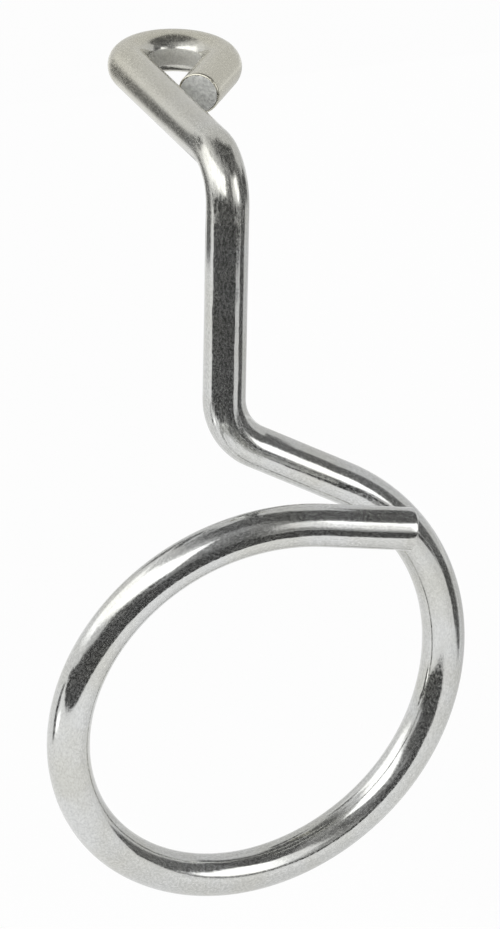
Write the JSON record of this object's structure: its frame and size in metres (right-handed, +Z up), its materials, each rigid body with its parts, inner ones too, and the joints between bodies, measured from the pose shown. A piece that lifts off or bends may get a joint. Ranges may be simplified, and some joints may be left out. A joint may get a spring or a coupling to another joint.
{
  "type": "cable ring",
  "caption": "Bent-wire cable ring: an open ring that holds cables, on a straight shank whose top turns back to a flat screw eye for fixing it to a rack, wall or ceiling.",
  "frame": {"origin": "middle of the hole in the screw eye, at mid height of the wire", "axes": "+Z up along the shank and along the screw's axis, +Y from the shank back to the eye, +X from the shank towards the side where the slant meets the ring"},
  "size_m": [0.0621, 0.0651, 0.1066],
  "materials": {
    "plated_wire": "bright zinc plate"
  },
  "bodies": {
    "root": {"cable_ring": "plated_wire"}
  },
  "joints": []
}
